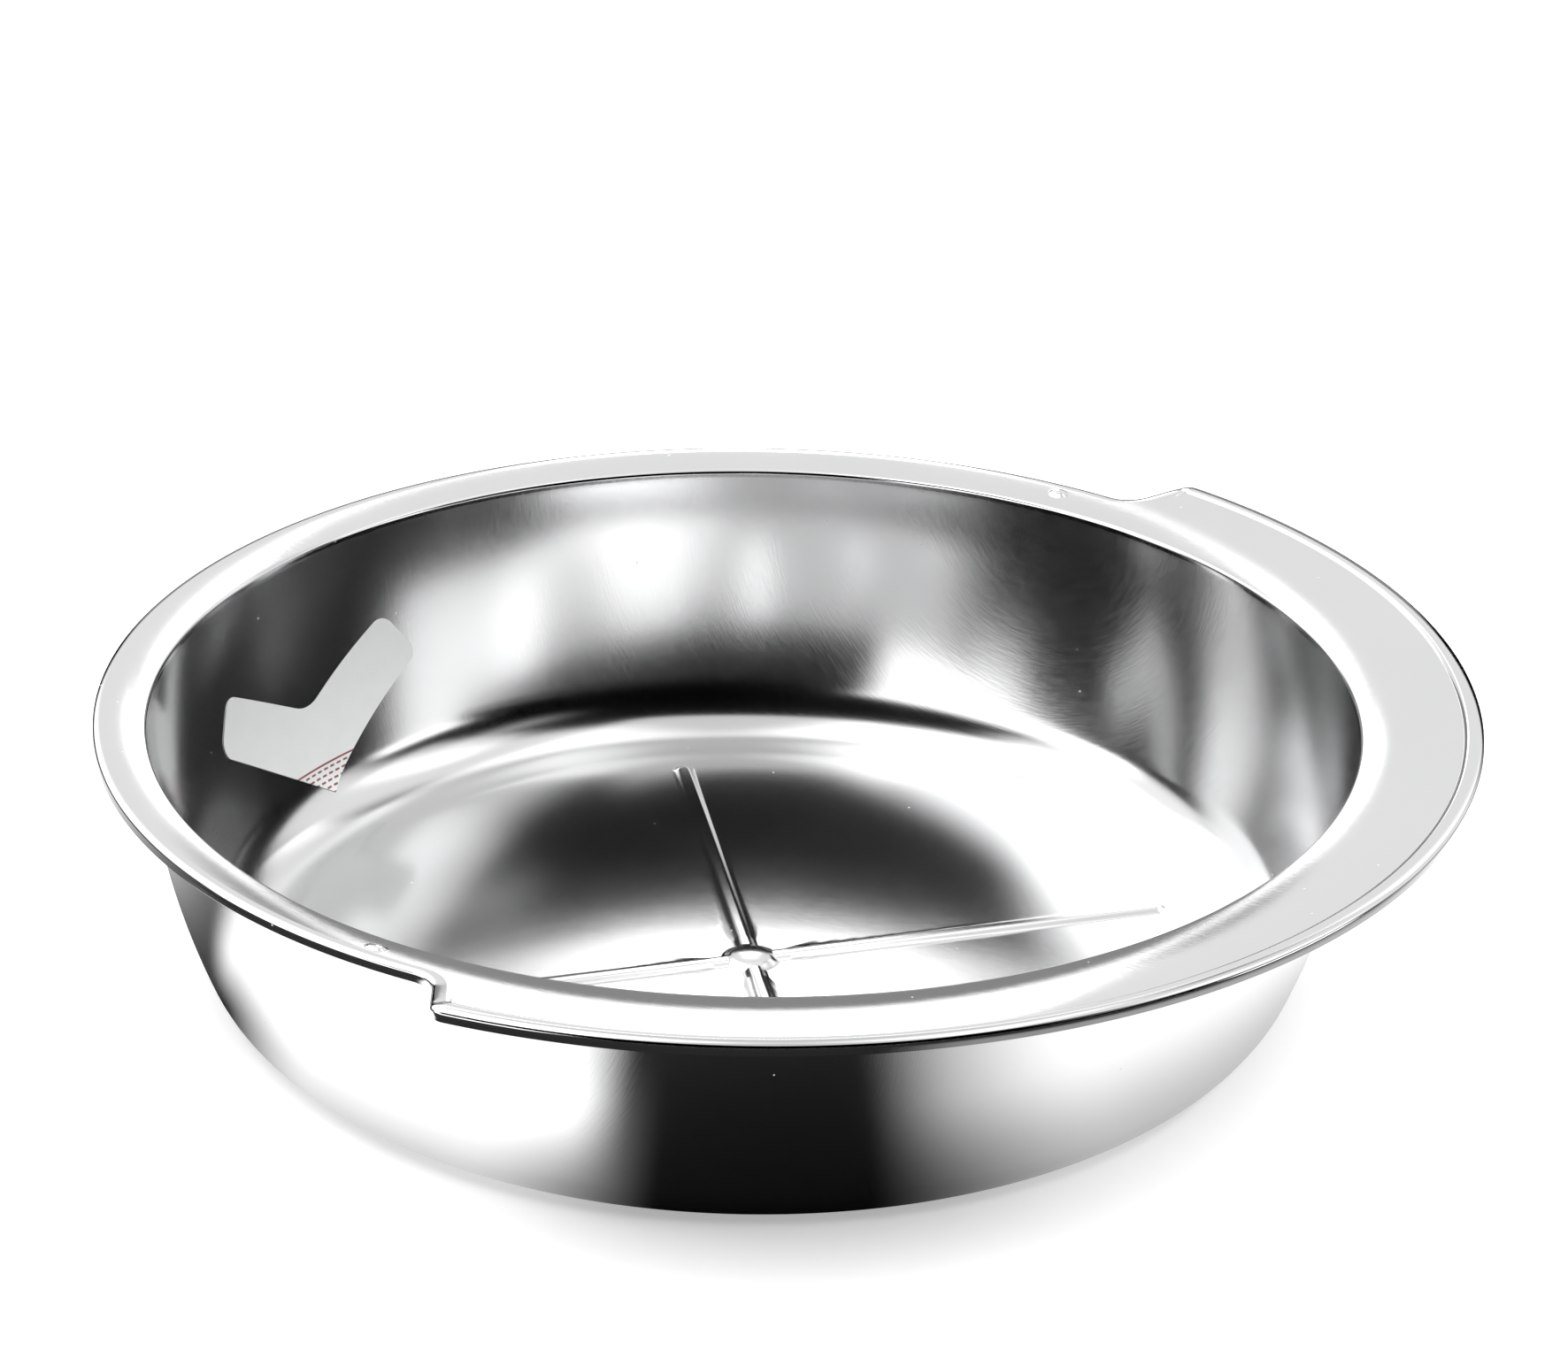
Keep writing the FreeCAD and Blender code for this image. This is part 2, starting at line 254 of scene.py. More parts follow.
def bowl_geometry():
    """Centres of the corner, the wall and the rim rounding, and the wall's radius."""
    foot, top = math.radians(WALL_FOOT_TAPER), math.radians(WALL_TOP_TAPER)
    corner_top = CORNER_RADIUS * (1 - math.sin(foot))
    wall_radius = (BOWL_DEPTH - corner_top) / (math.sin(foot) - math.sin(top))
    wall_centre = (RIM_RADIUS - wall_radius * math.cos(top), WALL_TOP + wall_radius * math.sin(top))
    reach = wall_radius - CORNER_RADIUS
    corner_centre = (wall_centre[0] + reach * math.cos(foot), wall_centre[1] - reach * math.sin(foot))
    rim_centre = (RIM_RADIUS + RIM_ROUND * math.cos(top), WALL_TOP - RIM_ROUND * math.sin(top))
    return corner_centre, wall_centre, wall_radius, rim_centre


CORNER_CENTRE, WALL_CENTRE, WALL_RADIUS, RIM_CENTRE = bowl_geometry()
FLOOR_RADIUS = CORNER_CENTRE[0]
RIB_LENGTH = FLOOR_RADIUS - RIB_END_GAP
COLLAR_START = RIM_CENTRE[0] - RIM_ROUND * math.sin(math.radians(FLANGE_INNER_SLOPE))
CREASE_RADIUS = WIDE_RADIUS - BEAD_WIDTH
COLLAR_RADIUS = (CREASE_RADIUS - COLLAR_START) / (
    math.sin(math.radians(FLANGE_INNER_SLOPE)) - math.sin(math.radians(FLANGE_OUTER_SLOPE))
)
COLLAR_CENTRE = (
    RIM_CENTRE[0] + (COLLAR_RADIUS - RIM_ROUND) * math.sin(math.radians(FLANGE_INNER_SLOPE)),
    RIM_CENTRE[1] - (COLLAR_RADIUS - RIM_ROUND) * math.cos(math.radians(FLANGE_INNER_SLOPE)),
)


def collar_height(radius):
    """Height of the flange's upper surface, without the bead."""
    reach = np.minimum(radius, CREASE_RADIUS) - COLLAR_CENTRE[0]
    return COLLAR_CENTRE[1] + np.sqrt(COLLAR_RADIUS ** 2 - reach ** 2)


def smooth(value, low, high):
    """0 below low, 1 above high, with an even S between them."""
    share = np.clip((value - low) / (high - low), 0, 1)
    return share * share * (3 - 2 * share)


def cross_height(x, y):
    """How far the pressed cross and its hub stand above the floor."""
    height = np.zeros_like(x)
    for side in (1, -1):
        turn = math.radians(side * RIB_HALF_ANGLE)
        along = np.abs(x * math.cos(turn) + y * math.sin(turn))
        across = y * math.cos(turn) - x * math.sin(turn)
        past_end = np.maximum(along - (RIB_LENGTH - RIB_HALF_WIDTH), 0)
        distance = np.hypot(past_end, across)
        rib = RIB_HEIGHT * (1 - smooth(distance, RIB_TOP_HALF_WIDTH, RIB_HALF_WIDTH + RIB_FOOT_SPREAD))
        height = np.maximum(height, rib)
    radius = np.hypot(x, y)
    hub = RIB_HEIGHT * (1 - smooth(radius, HUB_TOP_RADIUS, HUB_FOOT_RADIUS))
    crown = HUB_CROWN * np.clip(1 - (radius / HUB_CROWN_RADIUS) ** 2, 0, 1)
    return np.maximum(height, hub) + crown


def pip_height(x, y):
    """How far the two pips stand above the flange."""
    height = np.zeros_like(x)
    for side in (1, -1):
        turn = math.radians(side * PIP_HALF_ANGLE)
        outward = x * math.cos(turn) + y * math.sin(turn) - PIP_RADIUS_ON_FLANGE
        along = y * math.cos(turn) - x * math.sin(turn)
        share = np.clip(1 - (2 * outward / PIP_WIDTH) ** 2 - (2 * along / PIP_LENGTH) ** 2, 0, 1)
        height = height + PIP_HEIGHT * np.sqrt(share)
    return height


def flange_height(plan, lift=0.0):
    """Height of the flange with its pips at places in the plan, raised by a lift."""
    return collar_height(np.hypot(*plan.T)) + pip_height(*plan.T) + lift


def spread(start, end, step, dense):
    """Angles from start to end, about a step apart, closer where dense says (middle, reach, step)."""
    angles = set(np.linspace(start, end, max(2, int(round(abs(end - start) / step)) + 1)))
    for middle, reach, fine in dense:
        extra = np.linspace(middle - reach, middle + reach, int(round(2 * reach / fine)) + 1)
        angles = {a for a in angles if abs(a - middle) > reach or a in (start, end)}
        angles |= set(extra)
    return np.array(sorted(angles, reverse=start > end))


def plan_direction(degrees):
    """Unit vector in the plan, by its angle from the middle of the wide side."""
    return np.array([math.cos(math.radians(degrees)), math.sin(math.radians(degrees))])


def reach_circle(start, direction, radius):
    """Where a straight line in the plan meets a circle about the bowl's axis."""
    along = start @ direction
    return start + direction * (math.sqrt(along ** 2 - start @ start + radius ** 2) - along)


def step_edge():
    """The edge of one S-step: the angles where it starts and ends, and its points with inward normals."""
    tilt = WIDE_HALF_ANGLE - STEP_FLANK_TILT
    along = plan_direction(tilt)
    across = plan_direction(tilt + 90)
    flank = plan_direction(WIDE_HALF_ANGLE) * (NARROW_RADIUS + WIDE_RADIUS) / 2
    valley = reach_circle(flank + across * STEP_VALLEY_RADIUS, along, NARROW_RADIUS + STEP_VALLEY_RADIUS)
    corner = reach_circle(flank - across * STEP_CORNER_RADIUS, along, WIDE_RADIUS - STEP_CORNER_RADIUS)
    narrow_end = math.degrees(math.atan2(valley[1], valley[0]))
    wide_end = math.degrees(math.atan2(corner[1], corner[0]))
    places = []
    for angle in np.linspace(narrow_end + 180, tilt + 270, VALLEY_COLUMNS):
        out = plan_direction(angle)
        places.append((valley + out * STEP_VALLEY_RADIUS, out))
    foot = valley - across * STEP_VALLEY_RADIUS
    head = corner + across * STEP_CORNER_RADIUS
    for share in np.linspace(0, 1, FLANK_COLUMNS)[1:-1]:
        places.append((foot + (head - foot) * share, -across))
    for angle in np.linspace(tilt + 90, wide_end, STEP_CORNER_COLUMNS):
        out = plan_direction(angle)
        places.append((corner + out * STEP_CORNER_RADIUS, -out))
    return narrow_end, wide_end, places


def round_edge(angles, radius, bead):
    """Columns of a round part of the flange's edge."""
    columns = []
    for angle in angles:
        out = plan_direction(angle)
        columns.append((angle, out * radius, -out, bead))
    return columns


def half_outline():
    """Columns of half the flange's edge, narrow side first: angle, point, inward normal and bead share."""
    narrow_end, wide_end, places = step_edge()
    near_rib = (RIB_COLUMN_REACH, RIB_COLUMN_STEP)
    near_pip = (PIP_COLUMN_REACH, PIP_COLUMN_STEP)
    narrow_dense = [(180 - RIB_HALF_ANGLE, *near_rib), (PIP_HALF_ANGLE, *near_pip)]
    narrow = spread(180, narrow_end, COLUMN_STEP, narrow_dense)
    wide = spread(wide_end, 0, COLUMN_STEP, [(RIB_HALF_ANGLE, *near_rib)])
    columns = round_edge(narrow[:-1], NARROW_RADIUS, 0.0)
    for index, (point, inward) in enumerate(places):
        share = index / (len(places) - 1)
        angle = narrow_end + (wide_end - narrow_end) * share
        columns.append((angle, point, inward, float(smooth(share, BEAD_FADE_START, BEAD_FADE_END))))
    return columns + round_edge(wide[1:], WIDE_RADIUS, 1.0)


def outline_columns():
    """The whole edge of the flange, counter-clockwise from the middle of the wide side, value by value."""
    half = half_outline()
    flip = np.array([1, -1])
    lower = [(360 - angle, point * flip, inward * flip, bead) for angle, point, inward, bead in half[1:-1]]
    angle, points, inward, bead = (np.array(values) for values in zip(*half[::-1], *lower))
    return np.radians(angle), points, inward, bead


def ring(plan, height):
    """One ring of the pan's grid, from places in the plan and one height or a height for each."""
    return np.column_stack([plan, np.broadcast_to(height, len(plan))])


def floor_rings(out):
    """Rings of the floor, close together at the hub and at the ends of the ribs."""
    ends_start = RIB_LENGTH - RIB_END_ZONE
    hub = np.linspace(FIRST_RING_RADIUS, HUB_ZONE_RADIUS, HUB_RINGS)
    ribs = np.linspace(HUB_ZONE_RADIUS, ends_start, RIB_RINGS)[1:]
    ends = np.linspace(ends_start, FLOOR_RADIUS, RIB_END_RINGS)[1:]
    plans = [out * radius for radius in np.concatenate([hub, ribs, ends])]
    return [ring(plan, SHEET + cross_height(*plan.T)) for plan in plans]


def bowl_rings(out):
    """Rings of the corner, the wall and the rim rounding."""
    corner = arc_points(CORNER_CENTRE, CORNER_RADIUS, -90, -WALL_FOOT_TAPER, CORNER_RINGS)[1:]
    wall = arc_points(WALL_CENTRE, WALL_RADIUS, -WALL_FOOT_TAPER, -WALL_TOP_TAPER, WALL_RINGS)[1:]
    rim = arc_points(RIM_CENTRE, RIM_ROUND, 180 - WALL_TOP_TAPER, 90 + FLANGE_INNER_SLOPE, RIM_RINGS)[1:]
    return [ring(out * radius, height) for radius, height in np.concatenate([corner, wall, rim])]


def flange_rings(out, edge, inward, bead):
    """Rings of the collar, of the crease at its outer end and of the bead's rise."""
    start = out * COLLAR_START
    crease = edge + inward * BEAD_WIDTH
    end = crease - out * CREASE_MARGIN
    plans = [start + (end - start) * share for share in np.linspace(0, 1, COLLAR_RINGS)[1:-1]]
    plans += [crease - out * CREASE_MARGIN * share for share in CREASE_RING_SHARES]
    rings = [ring(plan, flange_height(plan)) for plan in plans]
    for offset in BEAD_RING_OFFSETS:
        plan = crease - inward * offset
        lift = BEAD_HEIGHT * math.sin(math.pi / 2 * min(offset / BEAD_RISE_WIDTH, 1)) * bead
        rings.append(ring(plan, flange_height(plan, lift)))
    return rings


def lip_rings(edge, inward, bead):
    """Rings of the shoulder, an ellipse in section, and of the turned-down lip."""
    lift = BEAD_HEIGHT * bead
    rings = []
    for turn in np.radians(np.linspace(0, 90, SHOULDER_RINGS)):
        plan = edge + inward * SHOULDER_WIDTH * (1 - math.sin(turn))
        drop = SHOULDER_HEIGHT * (1 - math.cos(turn))
        rings.append(ring(plan, flange_height(plan, lift) - drop))
    upright = np.linspace(SHOULDER_HEIGHT, LIP_DROP - CUT_MARGIN, LIP_RINGS)[1:]
    for drop in (*upright, LIP_DROP):
        rings.append(ring(edge, flange_height(edge, lift) - drop))
    return rings


def upper_surface():
    """Grid of points of the pan's upper side, ring by ring from the hub to the lower edge of the lip."""
    angle, edge, inward, bead = outline_columns()
    out = np.stack([np.cos(angle), np.sin(angle)], 1)
    rings = floor_rings(out) + bowl_rings(out)
    rings += flange_rings(out, edge, inward, bead) + lip_rings(edge, inward, bead)
    return np.array(rings)


def grid_normals(grid):
    """Unit normals of a closed ring grid, pointing up and out of the sheet's upper side."""
    around = np.roll(grid, -1, 1) - np.roll(grid, 1, 1)
    along = np.gradient(grid, axis=0)
    normal = np.cross(along, around)
    return normal / np.linalg.norm(normal, axis=2, keepdims=True)


def pan_faces(ring_count, column_count):
    """Faces of both sides of the sheet, of the lip's cut edge and of the two fans at the hub."""
    side = ring_count * column_count
    column = np.arange(column_count)
    following = (column + 1) % column_count
    faces = []
    for index in range(ring_count - 1):
        near, far = index * column_count, (index + 1) * column_count
        quads = np.stack([near + column, far + column, far + following, near + following], 1)
        faces += quads.tolist()
        faces += (quads[:, ::-1] + side).tolist()
    edge = (ring_count - 1) * column_count
    cut = np.stack([edge + column, edge + side + column, edge + side + following, edge + following], 1)
    faces += cut.tolist()
    faces += np.stack([np.full(column_count, 2 * side), column, following], 1).tolist()
    faces += np.stack([np.full(column_count, 2 * side + 1), following + side, column + side], 1).tolist()
    return faces


def pan_mesh():
    """The drawn sheet as one closed mesh: its upper side, its lower side and the lip's cut edge."""
    upper = upper_surface()
    lower = upper - grid_normals(upper) * SHEET
    hub_top = np.array([[0, 0, SHEET + RIB_HEIGHT + HUB_CROWN]])
    hub_under = hub_top - (0, 0, SHEET)
    points = np.concatenate([upper.reshape(-1, 3), lower.reshape(-1, 3), hub_top, hub_under])
    faces = pan_faces(*upper.shape[:2])
    mesh = bpy.data.meshes.new("steel_water_pan")
    mesh.from_pydata((points * MM).tolist(), [], faces)
    mesh.polygons.foreach_set("use_smooth", np.ones(len(faces), bool))
    mesh.update()
    return mesh


def rounded_outline(corners):
    """A closed outline as points, with a round of the given radius at each corner."""
    points = []
    for index, (x, y, radius) in enumerate(corners):
        here = np.array([x, y])
        if radius == 0:
            points.append(here)
            continue
        back = np.array(corners[index - 1][:2]) - here
        ahead = np.array(corners[(index + 1) % len(corners)][:2]) - here
        back, ahead = back / np.linalg.norm(back), ahead / np.linalg.norm(ahead)
        half = math.acos(np.dot(back, ahead)) / 2
        middle = back + ahead
        centre = here + middle / np.linalg.norm(middle) * radius / math.sin(half)
        first = here + back * radius / math.tan(half) - centre
        last = here + ahead * radius / math.tan(half) - centre
        sweep = math.atan2(first[0] * last[1] - first[1] * last[0], np.dot(first, last))
        for turn in np.linspace(0, sweep, STICKER_CORNER_POINTS):
            rotated = (
                first[0] * math.cos(turn) - first[1] * math.sin(turn),
                first[0] * math.sin(turn) + first[1] * math.cos(turn),
            )
            points.append(centre + rotated)
    return np.array(points)


def sticker_outline():
    """The chevron's outline, across the wall and down from its top."""
    half = [
        (STICKER_ARM_HALF_SPAN, STICKER_ARM_DEPTH, STICKER_CORNER_RADIUS),
        (STICKER_END_HALF_SPAN, STICKER_END_DEPTH, STICKER_CORNER_RADIUS),
    ]
    outline = [(0, STICKER_POINT_DEPTH, 0)] + half
    outline += [(0, STICKER_NOTCH_DEPTH, STICKER_NOTCH_RADIUS)]
    outline += [(-x, y, radius) for x, y, radius in reversed(half)]
    return rounded_outline(outline)


def sticker_layout():
    """The flat sticker as points and triangles, before it is laid on the wall."""
    outline = sticker_outline()
    border = []
    for index, point in enumerate(outline):
        gap = point - outline[index - 1]
        count = max(1, int(np.linalg.norm(gap) / STICKER_EDGE_STEP))
        border += [outline[index - 1] + gap * k / count for k in range(count)]
    across = np.arange(-STICKER_ARM_HALF_SPAN, STICKER_ARM_HALF_SPAN, STICKER_GRID_STEP)
    down = np.arange(STICKER_END_DEPTH, STICKER_POINT_DEPTH, STICKER_GRID_STEP)
    seeds = [Vector(point) for point in border] + [Vector((x, y)) for x in across for y in down]
    edges = [(k, (k + 1) % len(border)) for k in range(len(border))]
    points, _, triangles, *_ = delaunay_2d_cdt(seeds, edges, [], KEEP_INSIDE, STICKER_MERGE_DISTANCE)
    return np.array([(point.x, point.y) for point in points]), triangles


def wall_radius_at(depth):
    """Inner radius of the bowl at a depth below the top of the wall."""
    height = WALL_TOP - depth
    on_wall = WALL_CENTRE[0] + np.sqrt(WALL_RADIUS ** 2 - (WALL_CENTRE[1] - height) ** 2)
    below = np.clip(CORNER_CENTRE[1] - height, 0, CORNER_RADIUS)
    on_corner = CORNER_CENTRE[0] + np.sqrt(CORNER_RADIUS ** 2 - below ** 2)
    corner_top = CORNER_CENTRE[1] - CORNER_RADIUS * math.sin(math.radians(WALL_FOOT_TAPER))
    return np.where(height > corner_top, on_wall, on_corner)


def lay_on_wall(flat, offset):
    """Points of the flat sticker bent round the wall, an offset inside it."""
    radius = wall_radius_at(flat[:, 1]) - offset
    turn = math.radians(STICKER_ANGLE) + np.arcsin(flat[:, 0] / radius)
    return np.stack([radius * np.cos(turn), radius * np.sin(turn), WALL_TOP - flat[:, 1]], 1)


def sticker_mesh():
    """The chevron laid on the wall, with its thickness; its texture layout is flat and in millimetres."""
    flat, triangles = sticker_layout()
    count = len(flat)
    layers = [lay_on_wall(flat, STICKER_SEAT + STICKER_THICKNESS), lay_on_wall(flat, STICKER_SEAT)]
    faces = [tuple(t) for t in triangles] + [tuple(k + count for k in reversed(t)) for t in triangles]
    sides = dict.fromkeys(side for t in triangles for side in zip(t, (*t[1:], t[0])))
    for a, b in sides:
        if (b, a) not in sides:
            faces.append((b, a, a + count, b + count))
    mesh = bpy.data.meshes.new("fill_level_film")
    mesh.from_pydata((np.concatenate(layers) * MM).tolist(), [], faces)
    layout = mesh.uv_layers.new(name="print")
    corners = np.zeros(len(mesh.loops), int)
    mesh.loops.foreach_get("vertex_index", corners)
    layout.data.foreach_set("uv", flat[corners % count].ravel())
    mesh.update()
    return mesh


def add_object(name, mesh, node):
    """A new piece that stands for a CAD node."""
    piece = bpy.data.objects.new(name, mesh)
    bpy.context.scene.collection.objects.link(piece)
    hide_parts(node)
    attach(piece, "root")
    return piece


def feed(tree, socket, value):
    """Set a socket to a value, or link it to another socket."""
    if isinstance(value, bpy.types.NodeSocket):
        tree.links.new(value, socket)
    else:
        socket.default_value = value


def set_inputs(tree, node, **inputs):
    """Feed the sockets of a shader node by their names, with _ for a space."""
    for name, value in inputs.items():
        feed(tree, node.inputs[name.replace("_", " ")], value)


def add_node(tree, kind, **inputs):
    """A new shader node with its inputs."""
    node = tree.nodes.new(kind)
    set_inputs(tree, node, **inputs)
    return node


def calculate(tree, operation, first, second=0.0):
    """The result of a maths node."""
    node = tree.nodes.new("ShaderNodeMath")
    node.operation = operation
    for socket, value in zip(node.inputs, (first, second)):
        feed(tree, socket, value)
    return node.outputs[0]


def mix_colours(tree, share, first, second):
    """A colour that goes from the first to the second as the share goes from 0 to 1."""
    node = tree.nodes.new("ShaderNodeMix")
    node.data_type = "RGBA"
    for place, value in ((MIX_SHARE, share), (MIX_FIRST, first), (MIX_SECOND, second)):
        feed(tree, node.inputs[place], value)
    return node.outputs[MIX_RESULT]


def new_material(name):
    """A material, its shader tree and its main shader."""
    material = bpy.data.materials.new(name)
    material.use_nodes = True
    tree = material.node_tree
    return material, tree, tree.nodes["Principled BSDF"]


def stretched_noise(tree, place, stretch, scale):
    """Noise on object coordinates, drawn out along one axis."""
    turn = (0, 0, math.radians(NOISE_TURN))
    mapping = add_node(tree, "ShaderNodeMapping", Vector=place, Scale=stretch, Rotation=turn)
    noise = add_node(tree, "ShaderNodeTexNoise", Vector=mapping.outputs[0], Scale=scale, Detail=NOISE_DETAIL)
    return noise.outputs["Fac"]


def steel_roughness(tree, place, noise):
    """The steel's roughness, which follows the noise and is lower on the flange."""
    uneven = add_node(tree, "ShaderNodeMapRange", Value=noise, From_Min=NOISE_LOW, From_Max=NOISE_HIGH)
    set_inputs(tree, uneven, To_Min=ROUGHNESS_LOW, To_Max=ROUGHNESS_HIGH)
    height = add_node(tree, "ShaderNodeSeparateXYZ", Vector=place).outputs["Z"]
    on_flange = calculate(tree, "GREATER_THAN", height, FLANGE_FOOT * MM)
    polish = calculate(tree, "MULTIPLY", on_flange, FLANGE_POLISH)
    return calculate(tree, "SUBTRACT", uneven.outputs[0], polish)


def dust_specks(tree, place):
    """1 on a speck of dust and 0 elsewhere."""
    cells = add_node(tree, "ShaderNodeTexVoronoi", Vector=place, Scale=DUST_CELLS)
    near = calculate(tree, "LESS_THAN", cells.outputs["Distance"], DUST_RADIUS)
    draw = add_node(tree, "ShaderNodeSeparateColor", Color=cells.outputs["Color"]).outputs[0]
    return calculate(tree, "MULTIPLY", near, calculate(tree, "GREATER_THAN", draw, DUST_FREE_SHARE))


def steel_material():
    """Satin stainless steel: fine polishing marks in the gloss, soft clouds and a few specks of dust."""
    material, tree, shader = new_material("satin_stainless")
    place = add_node(tree, "ShaderNodeTexCoord").outputs["Object"]
    marks = stretched_noise(tree, place, MARK_STRETCH, MARK_SCALE)
    cloud = stretched_noise(tree, place, CLOUD_STRETCH, CLOUD_SCALE)
    speck = dust_specks(tree, place)
    tone = mix_colours(tree, cloud, STEEL_DARK, STEEL_LIGHT)
    bump = add_node(tree, "ShaderNodeBump", Height=marks, Strength=MARK_BUMP, Distance=MARK_DEPTH)
    set_inputs(
        tree,
        shader,
        Base_Color=mix_colours(tree, speck, tone, DUST_COLOUR),
        Metallic=calculate(tree, "SUBTRACT", 1.0, speck),
        Roughness=steel_roughness(tree, place, calculate(tree, "ADD", marks, cloud)),
        Normal=bump.outputs[0],
    )
    return material


def film_print(tree, place):
    """1 on the ink and 0 elsewhere: a level line, and rows of dashes below it."""
    depth = add_node(tree, "ShaderNodeSeparateXYZ", Vector=place).outputs["Y"]
    from_line = calculate(tree, "ABSOLUTE", calculate(tree, "SUBTRACT", depth, LEVEL_DEPTH))
    line = calculate(tree, "LESS_THAN", from_line, LEVEL_LINE_WIDTH / 2)
    bricks = add_node(tree, "ShaderNodeTexBrick", Vector=place, Scale=1.0, Mortar_Size=DASH_MARGIN)
    set_inputs(tree, bricks, Brick_Width=DASH_PITCH, Row_Height=DASH_ROW_PITCH)
    dash = calculate(tree, "SUBTRACT", 1.0, bricks.outputs["Fac"])
    below = calculate(tree, "GREATER_THAN", depth, LEVEL_DEPTH + DASH_GAP)
    return calculate(tree, "MAXIMUM", line, calculate(tree, "MULTIPLY", dash, below))


def film_material():
    """Matt grey film with its print."""
    material, tree, shader = new_material("printed_film")
    layout = add_node(tree, "ShaderNodeUVMap")
    layout.uv_map = "print"
    place = layout.outputs[0]
    grain = add_node(tree, "ShaderNodeTexNoise", Vector=place, Scale=GRAIN_SCALE, Detail=GRAIN_DETAIL)
    tone = mix_colours(tree, grain.outputs["Fac"], FILM_DARK, FILM_LIGHT)
    printed = mix_colours(tree, film_print(tree, place), tone, INK_COLOUR)
    set_inputs(tree, shader, Base_Color=printed, Roughness=FILM_ROUGHNESS)
    return material


def studio_direction(azimuth, elevation):
    """Unit vector to a place in the studio; azimuth 0 is towards the camera, positive to its right."""
    turn = math.radians(CAMERA_AZIMUTH + azimuth)
    rise = math.radians(elevation)
    return Vector((math.sin(turn) * math.cos(rise), -math.cos(turn) * math.cos(rise), math.sin(rise)))


def add_camera():
    """A camera at the photograph's place, turned and shifted to its framing."""
    data = bpy.data.cameras.new("photo_camera")
    data.sensor_width = SENSOR_WIDTH
    data.lens = FOCAL_PIXELS / IMAGE_WIDTH * SENSOR_WIDTH
    data.shift_x = (IMAGE_CENTRE[0] - MOUTH_PIXEL[0]) / IMAGE_WIDTH
    data.shift_y = (MOUTH_PIXEL[1] - IMAGE_CENTRE[1]) / IMAGE_WIDTH
    camera = bpy.data.objects.new("photo_camera", data)
    bpy.context.scene.collection.objects.link(camera)
    back = studio_direction(0, CAMERA_ELEVATION)
    mouth = Vector((0, 0, MOUTH_HEIGHT * MM))
    aim = (-back).to_track_quat("-Z", "Y").to_matrix()
    roll = Matrix.Rotation(math.radians(CAMERA_ROLL), 3, "Z")
    camera.matrix_world = Matrix.Translation(mouth + back * CAMERA_DISTANCE) @ (aim @ roll).to_4x4()
    bpy.context.scene.camera = camera


def add_background():
    """A plain pale background that neither lights the pan nor shows in the steel."""
    world = bpy.data.worlds.new("studio")
    bpy.context.scene.world = world
    world.use_nodes = True
    world.node_tree.nodes["Background"].inputs["Color"].default_value = BACKGROUND_COLOUR
    world.cycles_visibility.glossy = False
    world.cycles_visibility.diffuse = False


def add_floor():
    """A plain pale floor with a weak glow of its own."""
    mesh = bpy.data.meshes.new("studio_floor")
    size = FLOOR_HALF_SIZE
    corners = [(-size, -size, 0), (size, -size, 0), (size, size, 0), (-size, size, 0)]
    mesh.from_pydata(corners, [], [(0, 1, 2, 3)])
    floor = bpy.data.objects.new("studio_floor", mesh)
    bpy.context.scene.collection.objects.link(floor)
    material, tree, shader = new_material("pale_floor")
    set_inputs(tree, shader, Base_Color=FLOOR_COLOUR, Roughness=FLOOR_ROUGHNESS)
    set_inputs(tree, shader, Emission_Color=WHITE, Emission_Strength=FLOOR_GLOW)
    mesh.materials.append(material)


def soft_share(tree, distance, width):
    """0 at an edge, 1 a width inside it, with an even S between them."""
    share = add_node(tree, "ShaderNodeMapRange", Value=distance, From_Min=0.0, From_Max=width)
    share.interpolation_type = "SMOOTHSTEP"
    return share.outputs[0]


def add_area_light(name, azimuth, elevation, distance, width, height, radiance):
    """A rectangular light that faces the bowl's mouth and stays out of the picture."""
    data = bpy.data.lights.new(name, "AREA")
    data.shape = "RECTANGLE"
    data.size = width
    data.size_y = height
    data.energy = radiance * math.pi * width * height
    light = bpy.data.objects.new(name, data)
    towards = studio_direction(azimuth, elevation)
    light.location = Vector((0, 0, MOUTH_HEIGHT * MM)) + towards * distance
    light.rotation_euler = (-towards).to_track_quat("-Z", "Y").to_euler()
    light.visible_camera = False
    bpy.context.scene.collection.objects.link(light)
    return light


def add_soft_panel(name, azimuth, elevation, distance, half_width, half_height, soft_edge, radiance):
    """A light panel whose glow fades towards its edges, for the steel's reflections."""
    width = 2 * half_width + soft_edge
    height = 2 * half_height + soft_edge
    light = add_area_light(name, azimuth, elevation, distance, width, height, radiance)
    light.visible_diffuse = False
    light.data.use_nodes = True
    tree = light.data.node_tree
    spot = add_node(tree, "ShaderNodeNewGeometry").outputs["Parametric"]
    axes = add_node(tree, "ShaderNodeSeparateXYZ", Vector=spot)
    shares = []
    for axis, length in (("X", width), ("Y", height)):
        offset = calculate(tree, "SUBTRACT", axes.outputs[axis], PANEL_MIDDLE)
        inset = calculate(tree, "SUBTRACT", PANEL_MIDDLE, calculate(tree, "ABSOLUTE", offset))
        shares.append(soft_share(tree, calculate(tree, "MULTIPLY", inset, length), soft_edge))
    set_inputs(tree, tree.nodes["Emission"], Strength=calculate(tree, "MULTIPLY", *shares))


def add_fill(name, azimuth, elevation, distance, size, radiance):
    """A broad light for the floor and the sticker, left out of the steel's reflections."""
    light = add_area_light(name, azimuth, elevation, distance, size, size, radiance)
    light.visible_glossy = False


